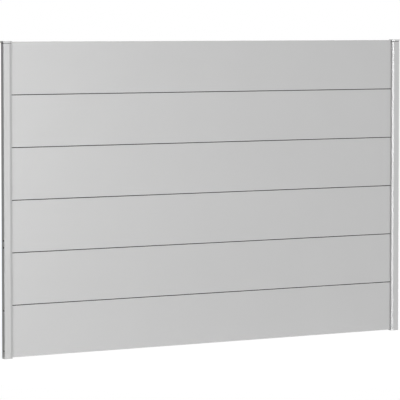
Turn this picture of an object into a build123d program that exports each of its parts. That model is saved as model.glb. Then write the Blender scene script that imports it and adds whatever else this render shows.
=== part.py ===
from build123d import *
import os

# Metal privacy screen panel: six interlocking hollow boards held between two slotted posts.
# Millimetres, +Z up. +X runs along the panel from the left post to the right one, and the
# front faces -Y. The origin is on the left post's outer side face, halfway through its
# depth and level with the underside of the lowest board.

# Boards
board_count = 6
board_pitch = 300.0
clear_width = 2694.0
board_thickness = 14.0
board_wall = 1.2
board_edge_radius = 1.0
board_web_count = 3
shadow_gap = 4.0
shadow_depth = 4.5
tongue_engagement = 10.0
tongue_tip_radius = 0.6

# Posts
post_width = 53.0
post_wall = 2.0
post_corner_radius = 0.8
lip_radius = 0.5
chamber_corner_radius = 1.0
facet_width = 13.0
facet_fall = 2.1
board_setback = 13.5
rear_lip = 2.0
channel_depth = 16.0
post_end_below_board_top = 10.0

# Bolt holes in the outer side of each post, as heights above the underside of the boards
bolt_hole_diameter = 12.0
bolt_hole_from_front = 8.5
upper_bolt_heights = (630.0, 670.0)
lower_bolt_heights = (40.0, 270.0)

# Caps on the posts' upper ends
cap_above_boards = 4.0
cap_side_overhang = 1.0
cap_front_overhang = 2.5
cap_rear_overhang = 6.0
cap_edge_chamfer = 0.8
cap_neck_height = 3.0
cap_neck_inset = 1.2
cap_spigot_length = 22.0

# Plugs in the posts' lower ends
foot_flange = 3.0
foot_below_boards = 6.0
foot_spigot_length = 30.0
foot_key_height = 7.0

spigot_wall = 2.0

# Clearances between mating pieces
slide_clearance = 0.5
end_clearance = 2.0
tongue_clearance = 0.3
spigot_clearance = 0.25
cap_clearance = 0.3

# Places that follow from the sizes
panel_width = clear_width + 2 * post_width
board_top = board_count * board_pitch
post_depth = board_setback + board_thickness + slide_clearance + rear_lip
post_front = -post_depth / 2
post_rear = post_depth / 2
board_front = post_front + board_setback
board_middle = board_front + board_thickness / 2
channel_front = board_front - slide_clearance
channel_rear = board_front + board_thickness + slide_clearance
channel_floor = post_width - channel_depth
post_bottom = foot_flange - foot_below_boards
post_top = board_top - post_end_below_board_top
board_start = channel_floor + end_clearance
board_length = panel_width - 2 * board_start
face_height = board_pitch - shadow_gap
tongue_width = board_thickness - 2 * shadow_depth
tongue_top = board_pitch + tongue_engagement
slot_width = tongue_width + 2 * tongue_clearance


def box_between(low_x, low_y, high_x, high_y, mode=Mode.ADD):
    """A rectangle in the open sketch, from its low corner to its high one."""
    with Locations(((low_x + high_x) / 2, (low_y + high_y) / 2)):
        Rectangle(high_x - low_x, high_y - low_y, mode=mode)


def outline(side=0.0, front=0.0, rear=0.0):
    """The post's outline seen from above, with the shallow facet beside the boards.

    side, front and rear are how far it is grown at its two sides, its front and its back.
    """
    facet_slope = facet_fall / facet_width
    with BuildSketch() as sketch:
        with BuildLine():
            Polyline(
                (-side, post_front - front),
                (post_width - facet_width, post_front - front),
                (post_width + side, post_front - front + facet_slope * (facet_width + side)),
                (post_width + side, post_rear + rear),
                (-side, post_rear + rear),
                close=True,
            )
        make_face()
    return sketch.sketch


def rounded_outline():
    """The outline with its outer corners rounded, as the post and its foot have them."""
    with BuildSketch() as sketch:
        add(outline())
        corners = sketch.vertices().filter_by(lambda v: v.X < post_width / 2)
        fillet(corners, radius=post_corner_radius)
    return sketch.sketch


def outer_chamber(shrink=0.0):
    """The square hollow in the outer part of the post, or a smaller copy of it."""
    with BuildSketch() as sketch:
        box_between(post_wall + shrink, post_front + post_wall + shrink,
                    channel_floor - post_wall - shrink, post_rear - post_wall - shrink)
        fillet(sketch.vertices(), radius=chamber_corner_radius)
    return sketch.sketch


def leg_chamber():
    """The hollow in the front leg, which follows the facet at the wall's thickness."""
    with BuildSketch() as sketch:
        add(outline())
        offset(amount=-post_wall, kind=Kind.INTERSECTION)
        box_between(0, post_front, channel_floor, post_rear, Mode.SUBTRACT)
        box_between(channel_floor, channel_front - post_wall,
                    post_width, post_rear, Mode.SUBTRACT)
        ends = sketch.vertices().group_by(Axis.X)
        fillet(ends[0] + ends[-1], radius=chamber_corner_radius)
    return sketch.sketch


def spigot():
    """The hollow plug that fits the post's outer chamber."""
    with BuildSketch() as sketch:
        add(outer_chamber(spigot_clearance))
        add(outer_chamber(spigot_clearance + spigot_wall), mode=Mode.SUBTRACT)
    return sketch.sketch


def post():
    """A slotted post, open at both ends, with bolt holes through its outer wall."""
    with BuildPart() as piece:
        with BuildSketch(Plane.XY.offset(post_bottom)) as section:
            add(rounded_outline())
            box_between(channel_floor, channel_front, post_width, channel_rear, Mode.SUBTRACT)
            fillet(section.vertices().group_by(Axis.X)[-1], radius=lip_radius)
            add(outer_chamber(), mode=Mode.SUBTRACT)
            add(leg_chamber(), mode=Mode.SUBTRACT)
        extrude(amount=post_top - post_bottom)
        with BuildSketch(Plane.YZ):
            for height in upper_bolt_heights + lower_bolt_heights:
                with Locations((post_front + bolt_hole_from_front, height)):
                    Circle(bolt_hole_diameter / 2)
        extrude(amount=(channel_floor - post_wall) / 2, mode=Mode.SUBTRACT)
    return piece


def cap():
    """A lid on a recessed neck, which leaves a thin shadow line above the post.

    It stands proud of the post all round and plugs into the post's outer chamber.
    """
    lid_bottom = post_top + cap_neck_height
    with BuildPart() as piece:
        with BuildSketch(Plane.XY.offset(lid_bottom)):
            add(outline(cap_side_overhang, cap_front_overhang, cap_rear_overhang))
        extrude(amount=board_top + cap_above_boards - lid_bottom)
        chamfer(piece.faces().sort_by(Axis.Z)[-1].edges(), length=cap_edge_chamfer)
        with BuildSketch(Plane.XY.offset(post_top)):
            add(outline(-cap_neck_inset, -cap_neck_inset, -cap_neck_inset))
        extrude(amount=cap_neck_height)
        with BuildSketch(Plane.XY.offset(post_top)):
            add(outer_chamber(spigot_clearance + spigot_wall))
            box_between(channel_floor, channel_front,
                        post_width + cap_side_overhang, channel_rear)
        extrude(amount=post_end_below_board_top + cap_clearance, mode=Mode.SUBTRACT)
        with BuildSketch(Plane.XY.offset(post_top)):
            add(spigot())
        extrude(amount=-cap_spigot_length)
    return piece


def foot_plug():
    """A flush plug that closes the post and carries the boards on a keyed pad."""
    key_end = board_start + spigot_clearance
    with BuildPart() as piece:
        with BuildSketch(Plane.XY.offset(-foot_below_boards)):
            add(rounded_outline())
        extrude(amount=foot_flange)
        with BuildSketch(Plane.XY.offset(post_bottom)):
            add(spigot())
        extrude(amount=foot_spigot_length)
        with BuildSketch(Plane.XY.offset(post_bottom)):
            box_between(channel_floor + spigot_clearance, channel_front + spigot_clearance,
                        post_width, channel_rear - spigot_clearance)
        extrude(amount=-post_bottom)
        with BuildSketch(Plane.XY):
            box_between(key_end, board_middle - tongue_width / 2,
                        post_width, board_middle + tongue_width / 2)
        extrude(amount=foot_key_height)
    return piece


def board(level, is_top):
    """A hollow board with a slot below and, unless it is the top one, a tongue above."""
    body_height = board_pitch if is_top else face_height
    rear = board_front + board_thickness
    slot_ceiling = tongue_engagement + board_wall
    chamber_count = board_web_count + 1
    chamber_height = (body_height - slot_ceiling) / chamber_count - board_wall
    lip_hollow = (board_thickness - slot_width) / 2 - 2 * board_wall
    base = Plane(origin=(board_start, 0, level), x_dir=(0, 1, 0), z_dir=(1, 0, 0))
    with BuildPart() as piece:
        with BuildSketch(base) as section:
            box_between(board_front, 0, rear, body_height)
            fillet(section.vertices(), radius=board_edge_radius)
            box_between(board_middle - slot_width / 2, 0,
                        board_middle + slot_width / 2, tongue_engagement, Mode.SUBTRACT)
            for low_y in (board_front + board_wall, rear - board_wall - lip_hollow):
                box_between(low_y, board_wall, low_y + lip_hollow, tongue_engagement,
                            Mode.SUBTRACT)
            for number in range(chamber_count):
                low = slot_ceiling + number * (chamber_height + board_wall)
                box_between(board_front + board_wall, low,
                            rear - board_wall, low + chamber_height, Mode.SUBTRACT)
            if not is_top:
                add(tongue())
        extrude(amount=board_length)
    return piece


def tongue():
    """The hollow tongue that stands above a board's shoulders, with rounded tips."""
    inner = tongue_width / 2 - board_wall
    with BuildSketch() as sketch:
        box_between(board_middle - tongue_width / 2, face_height,
                    board_middle + tongue_width / 2, tongue_top)
        fillet(sketch.vertices().group_by(Axis.Y)[-1], radius=tongue_tip_radius)
        box_between(board_middle - inner, face_height,
                    board_middle + inner, tongue_top - board_wall, Mode.SUBTRACT)
    return sketch.sketch


def mirrored(piece):
    """The same piece for the other end of the panel."""
    with BuildPart() as other:
        mirror(piece.part, about=Plane.YZ.offset(panel_width / 2))
    return other


pieces = {"left_post": post(), "left_post_cap": cap(), "left_foot_plug": foot_plug()}
for name in list(pieces):
    pieces[name.replace("left", "right")] = mirrored(pieces[name])
for number in range(board_count):
    pieces[f"board_{number + 1}"] = board(number * board_pitch, number == board_count - 1)

os.makedirs("parts", exist_ok=True)
for name, piece in pieces.items():
    piece.part.label = name
    export_step(piece.part, f"parts/{name}.step")
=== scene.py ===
import math

import bmesh
import bpy
from mathutils import Matrix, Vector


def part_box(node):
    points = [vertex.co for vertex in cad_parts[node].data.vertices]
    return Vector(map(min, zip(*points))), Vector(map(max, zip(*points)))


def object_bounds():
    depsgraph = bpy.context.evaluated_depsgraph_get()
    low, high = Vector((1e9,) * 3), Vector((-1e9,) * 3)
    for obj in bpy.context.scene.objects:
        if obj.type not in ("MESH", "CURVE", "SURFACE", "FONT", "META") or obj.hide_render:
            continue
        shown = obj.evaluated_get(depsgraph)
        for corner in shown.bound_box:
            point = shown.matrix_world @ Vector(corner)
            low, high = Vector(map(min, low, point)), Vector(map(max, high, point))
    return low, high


# Metal privacy screen panel: six hollow boards between two slotted posts, with small caps.
# The solids carry every shape, so this script gives them their finish, the light and the
# camera. +X runs along the panel, the front faces -Y and +Z is up, all in metres.

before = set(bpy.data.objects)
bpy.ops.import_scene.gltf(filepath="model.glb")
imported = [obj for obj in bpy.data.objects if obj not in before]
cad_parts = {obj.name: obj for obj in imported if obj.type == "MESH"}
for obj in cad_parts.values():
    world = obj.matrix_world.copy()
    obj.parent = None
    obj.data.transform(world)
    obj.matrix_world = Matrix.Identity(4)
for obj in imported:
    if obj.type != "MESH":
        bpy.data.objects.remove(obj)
cad_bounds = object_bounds()

# The panel's own measures, in metres
BOARD_PITCH = 0.300
BOARD_THICKNESS = 0.014
BOARD_EDGE_RADIUS = 0.001
JOINT_GAP = 0.004
CAP_LID_HEIGHT = 0.011

# The post's chamber ends in the wall that lies this far in from the post's outer side
CHAMBER_INNER_WALL = 0.0355

# How far the plain coat reaches into a drilled hole before the painted shade inside begins,
# and a hair's breadth to clear an edge by
DRILLED_RIM = 0.0008
HAIR = 0.0001

# Silver grey powder coat. Real flakes are under 0.1 mm and real orange peel about 1 mm
# across, so both are drawn coarser here, to show in a close view.
BOARD_GREYS = ("#BBBBBB", "#B7B7B7")
CAP_GREYS = ("#C3C3C3", "#BFBFBF")
FLAKE_MM = 1.2
PEEL_MM = 3.0
PEEL_DETAIL = 1.0
PEEL_HEIGHT = 0.00002
PEEL_STRENGTH = 0.25
CLOUD_MM = 260
COAT_METALLIC = 0.3
COAT_ROUGHNESS = 0.30
ROUGHNESS_DRIFT = 0.02
# Painted shade: near black and rough, it stands in for the shade deep in the board joints, under
# the caps' lids and in the posts' chambers and bolt holes.
PAINTED_SHADE = "#141414"
PAINTED_SHADE_ROUGHNESS = 0.9

# The studio: a world, a round floor and a card behind the left post
WORLD_LIGHT = 0.18
FLOOR_RADIUS = 2.2
FLOOR_SIDES = 96
FLOOR_PAINT = "#808080"
FLOOR_GLOW = 0.86
CARD_GREY = "#808080"
CARD_GAP = 0.05
CARD_SIZE = 4.0

# Lamps: azimuth and elevation they shine from, angular width, all in degrees, and strength
KEY_LAMP = (5, 42, 20, 1.73)
SIDE_LAMP = (-56, 12, 8, 1.5)
SHEEN_LAMP = (21.3, -1.6, 3, 0.227)
BACK_LAMP = (160, 14, 30, 1.85)

# Camera, fitted to the joints and edges in the photograph
CAMERA_PLACE = (-7.77625, -14.01944, 1.91227)
CAMERA_YAW = 33.0238
CAMERA_PITCH = 3.6135
CAMERA_LENS = 253.887
CAMERA_SENSOR = 36.0
CAMERA_REACH = 200.0


def linear(colour):
    """A hex colour, written as the eye sees it, as the linear values that Blender takes."""
    parts = [int(colour[i:i + 2], 16) / 255 for i in (1, 3, 5)]
    return [p / 12.92 if p <= 0.04045 else ((p + 0.055) / 1.055) ** 2.4 for p in parts] + [1.0]


def per_metre(millimetres):
    """The scale of a pattern whose grains are this far apart."""
    return 1000 / millimetres


def add_node(tree, kind, settings=None, **inputs):
    """Adds a node, sets its options and then its inputs, each to a value or another's output.

    An input goes by its name, with _ for a space, or by its number, as in i0.
    """
    node = tree.nodes.new(kind)
    for name, value in (settings or {}).items():
        setattr(node, name, value)
    for name, value in inputs.items():
        key = int(name[1:]) if name[1:].isdigit() else name.replace("_", " ")
        if isinstance(value, bpy.types.NodeSocket):
            tree.links.new(value, node.inputs[key])
        else:
            node.inputs[key].default_value = value
    return node


def maths(tree, operation, *values):
    """The output of one sum on numbers or other nodes' outputs."""
    places = {f"i{number}": value for number, value in enumerate(values)}
    return add_node(tree, "ShaderNodeMath", {"operation": operation}, **places).outputs[0]


def blank(name):
    """A new material with nodes and nothing in it."""
    material = bpy.data.materials.new(name)
    material.use_nodes = True
    material.node_tree.nodes.clear()
    return material, material.node_tree


def coated_aluminium(name, greys, painted_shade=None):
    """Extruded aluminium with a silver metallic powder coat: satin, with fine flakes in it.

    The eye gets a soft sheen that follows the studio, a hint of orange peel and faint
    flakes. The optional mask is 1 on the metal deep in a joint, under a cap's lid or in a
    chamber, where a near-black painted shade stands in for the shade that falls there.
    """
    light, dark = greys
    material, tree = blank(name)
    place = add_node(tree, "ShaderNodeTexCoord").outputs["Object"]
    flakes = add_node(tree, "ShaderNodeTexVoronoi", {"feature": "F1"},
                      Vector=place, Scale=per_metre(FLAKE_MM)).outputs["Color"]
    flake_tone = add_node(tree, "ShaderNodeSeparateColor", Color=flakes).outputs["Red"]
    clouds = add_node(tree, "ShaderNodeTexNoise", Vector=place,
                      Scale=per_metre(CLOUD_MM)).outputs["Fac"]
    mean = maths(tree, "DIVIDE", maths(tree, "ADD", flake_tone, clouds), 2)
    colour = add_node(tree, "ShaderNodeMix", {"data_type": "RGBA"}, i0=mean,
                      i6=linear(dark), i7=linear(light)).outputs[2]
    roughness = add_node(tree, "ShaderNodeMapRange", Value=clouds,
                         To_Min=COAT_ROUGHNESS - ROUGHNESS_DRIFT,
                         To_Max=COAT_ROUGHNESS + ROUGHNESS_DRIFT).outputs[0]
    # Painted shade: where the mask is 1, the coat turns near black and rough.
    if painted_shade:
        mask = painted_shade(tree, place)
        colour = add_node(tree, "ShaderNodeMix", {"data_type": "RGBA"}, i0=mask,
                          i6=colour, i7=linear(PAINTED_SHADE)).outputs[2]
        roughness = maths(tree, "MAXIMUM", roughness,
                          maths(tree, "MULTIPLY", mask, PAINTED_SHADE_ROUGHNESS))
    peel = add_node(tree, "ShaderNodeTexNoise", Vector=place, Scale=per_metre(PEEL_MM),
                    Detail=PEEL_DETAIL).outputs["Fac"]
    bump = add_node(tree, "ShaderNodeBump", Height=peel, Strength=PEEL_STRENGTH,
                    Distance=PEEL_HEIGHT).outputs["Normal"]
    shader = add_node(tree, "ShaderNodeBsdfPrincipled", Base_Color=colour,
                      Metallic=COAT_METALLIC, Roughness=roughness, Normal=bump)
    add_node(tree, "ShaderNodeOutputMaterial", Surface=shader.outputs[0])
    return material


def within(tree, value, middle, reach):
    """1 where a value lies nearer to a middle than this reach, and 0 elsewhere."""
    away = maths(tree, "ABSOLUTE", maths(tree, "SUBTRACT", value, middle))
    return maths(tree, "LESS_THAN", away, reach)


def shade_in_joints(tree, place):
    """1 deep in the joints between the boards, where shade is painted, 0 on their faces and rounded
    edges.
    """
    split = add_node(tree, "ShaderNodeSeparateXYZ", Vector=place).outputs
    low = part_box("board_1")[0]
    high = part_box("board_6")[1]
    deep = within(tree, split["Y"], (low.y + high.y) / 2, BOARD_THICKNESS / 2 - BOARD_EDGE_RADIUS)
    joint = low.z + BOARD_PITCH - JOINT_GAP / 2
    to_joint = maths(tree, "PINGPONG", maths(tree, "SUBTRACT", split["Z"], joint), BOARD_PITCH / 2)
    level = maths(tree, "LESS_THAN", to_joint, JOINT_GAP / 2 + HAIR)
    between = within(tree, split["Z"], (low.z + high.z) / 2, (high.z - low.z - BOARD_PITCH) / 2)
    return maths(tree, "MULTIPLY", maths(tree, "MULTIPLY", deep, level), between)


def shade_under_lids(tree, place):
    """1 below the caps' lids, on the recessed necks and the plugs inside the posts, where shade is
    painted.
    """
    height = add_node(tree, "ShaderNodeSeparateXYZ", Vector=place).outputs["Z"]
    lid_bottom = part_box("left_post_cap")[1].z - CAP_LID_HEIGHT
    return maths(tree, "LESS_THAN", height, lid_bottom - HAIR)


def shade_in_chambers(tree, place):
    """1 in the posts' hollow outer chambers and in the bolt holes that lead to them, where shade is
    painted.
    """
    split = add_node(tree, "ShaderNodeSeparateXYZ", Vector=place).outputs
    low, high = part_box("left_post")
    panel_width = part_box("right_post")[1].x - low.x
    from_side = maths(tree, "PINGPONG", maths(tree, "SUBTRACT", split["X"], low.x), panel_width / 2)
    past_rim = maths(tree, "GREATER_THAN", from_side, DRILLED_RIM)
    before_channel = maths(tree, "LESS_THAN", from_side, CHAMBER_INNER_WALL)
    across = within(tree, split["Y"], (low.y + high.y) / 2, (high.y - low.y) / 2 - DRILLED_RIM)
    return maths(tree, "MULTIPLY", maths(tree, "MULTIPLY", past_rim, before_channel), across)


def dress():
    """Gives each piece its coat by the last word of its name that has one."""
    coats = {
        # The boards, posts and caps take painted shade in their joints, under the lids and in the
        # chambers; the foot plugs take none.
        "board": coated_aluminium("powder_coated_aluminium_boards", BOARD_GREYS, shade_in_joints),
        "post": coated_aluminium("powder_coated_aluminium_posts", BOARD_GREYS, shade_in_chambers),
        "cap": coated_aluminium("powder_coated_aluminium_caps", CAP_GREYS, shade_under_lids),
        "plug": coated_aluminium("powder_coated_aluminium_foot_plugs", BOARD_GREYS),
    }
    for name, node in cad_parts.items():
        last_word = [word for word in name.split("_") if word in coats][-1]
        node.data.materials.clear()
        node.data.materials.append(coats[last_word])


def ray_sees_white(tree):
    """1 for rays that show the background itself: straight, mirrored or through glass."""
    path = add_node(tree, "ShaderNodeLightPath").outputs
    straight = maths(tree, "MAXIMUM", path["Is Camera Ray"], path["Is Glossy Ray"])
    return maths(tree, "MAXIMUM", straight, path["Is Transmission Ray"])


def white_room():
    """A world that shows white and lights the panel softly."""
    world = bpy.data.worlds.new("white_studio")
    world.use_nodes = True
    bpy.context.scene.world = world
    tree = world.node_tree
    tree.nodes.clear()
    light = add_node(tree, "ShaderNodeBackground", Strength=WORLD_LIGHT).outputs[0]
    white = add_node(tree, "ShaderNodeBackground", Color=linear("#FFFFFF"),
                     Strength=1.0).outputs[0]
    mix = add_node(tree, "ShaderNodeMixShader", i0=ray_sees_white(tree), i1=light, i2=white)
    add_node(tree, "ShaderNodeOutputWorld", Surface=mix.outputs[0])


def staged(name, mesh, material):
    """Part of the studio, made from a finished bmesh."""
    data = bpy.data.meshes.new(name)
    mesh.to_mesh(data)
    mesh.free()
    data.materials.append(material)
    piece = bpy.data.objects.new(name, data)
    bpy.context.scene.collection.objects.link(piece)
    return piece


def floor():
    """A round white floor that takes the panel's shadow and throws none of its own."""
    material, tree = blank("white_painted_floor")
    paint = add_node(tree, "ShaderNodeBsdfDiffuse", Color=linear(FLOOR_PAINT)).outputs[0]
    glow = add_node(tree, "ShaderNodeEmission",
                    Strength=maths(tree, "MULTIPLY", ray_sees_white(tree), FLOOR_GLOW))
    both = add_node(tree, "ShaderNodeAddShader", i0=paint, i1=glow.outputs[0]).outputs[0]
    add_node(tree, "ShaderNodeOutputMaterial", Surface=both)
    low, high = cad_bounds
    mesh = bmesh.new()
    bmesh.ops.create_circle(mesh, cap_ends=True, segments=FLOOR_SIDES, radius=FLOOR_RADIUS)
    bmesh.ops.translate(mesh, verts=mesh.verts, vec=((low[0] + high[0]) / 2, 0, low[2]))
    staged("floor", mesh, material).visible_shadow = False


def card():
    """A grey card behind the left post, seen only in reflections, that darkens its side."""
    material, tree = blank("grey_card")
    grey = add_node(tree, "ShaderNodeBsdfDiffuse", Color=linear(CARD_GREY)).outputs[0]
    add_node(tree, "ShaderNodeOutputMaterial", Surface=grey)
    low, high = cad_bounds
    mesh = bmesh.new()
    bmesh.ops.create_grid(mesh, x_segments=1, y_segments=1, size=CARD_SIZE / 2)
    bmesh.ops.rotate(mesh, verts=mesh.verts, matrix=Matrix.Rotation(math.radians(90), 3, "X"))
    bmesh.ops.translate(mesh, verts=mesh.verts, vec=(
        low[0] - CARD_SIZE / 2, high[1] + CARD_GAP, low[2] + CARD_SIZE / 2))
    piece = staged("grey_card", mesh, material)
    piece.visible_camera = False
    piece.visible_diffuse = False
    piece.visible_shadow = False


def lamp(name, azimuth, elevation, width, strength):
    """A lamp far away and broad, so its light is soft and alike all along the panel."""
    data = bpy.data.lights.new(name, "SUN")
    data.angle = math.radians(width)
    data.energy = strength
    piece = bpy.data.objects.new(name, data)
    piece.rotation_euler = (math.radians(90 - elevation), 0, math.radians(azimuth))
    bpy.context.scene.collection.objects.link(piece)
    return piece


def lamps():
    """A key lamp in front, a low one from the left, one for the sheen and a fill behind."""
    lamp("key_lamp", *KEY_LAMP)
    lamp("side_lamp", *SIDE_LAMP).visible_glossy = False
    lamp("sheen_lamp", *SHEEN_LAMP)
    fill = lamp("back_lamp", *BACK_LAMP)
    fill.data.use_shadow = False
    fill.visible_glossy = False


def camera():
    """A long lens, low and to the left of the panel, as the photograph has it."""
    data = bpy.data.cameras.new("camera")
    data.lens = CAMERA_LENS
    data.sensor_width = CAMERA_SENSOR
    data.clip_end = CAMERA_REACH
    piece = bpy.data.objects.new("camera", data)
    piece.location = CAMERA_PLACE
    piece.rotation_euler = (math.radians(90 - CAMERA_PITCH), 0, math.radians(-CAMERA_YAW))
    bpy.context.scene.collection.objects.link(piece)
    bpy.context.scene.camera = piece


dress()
white_room()
floor()
card()
lamps()
camera()
bpy.context.scene.view_settings.view_transform = "Standard"
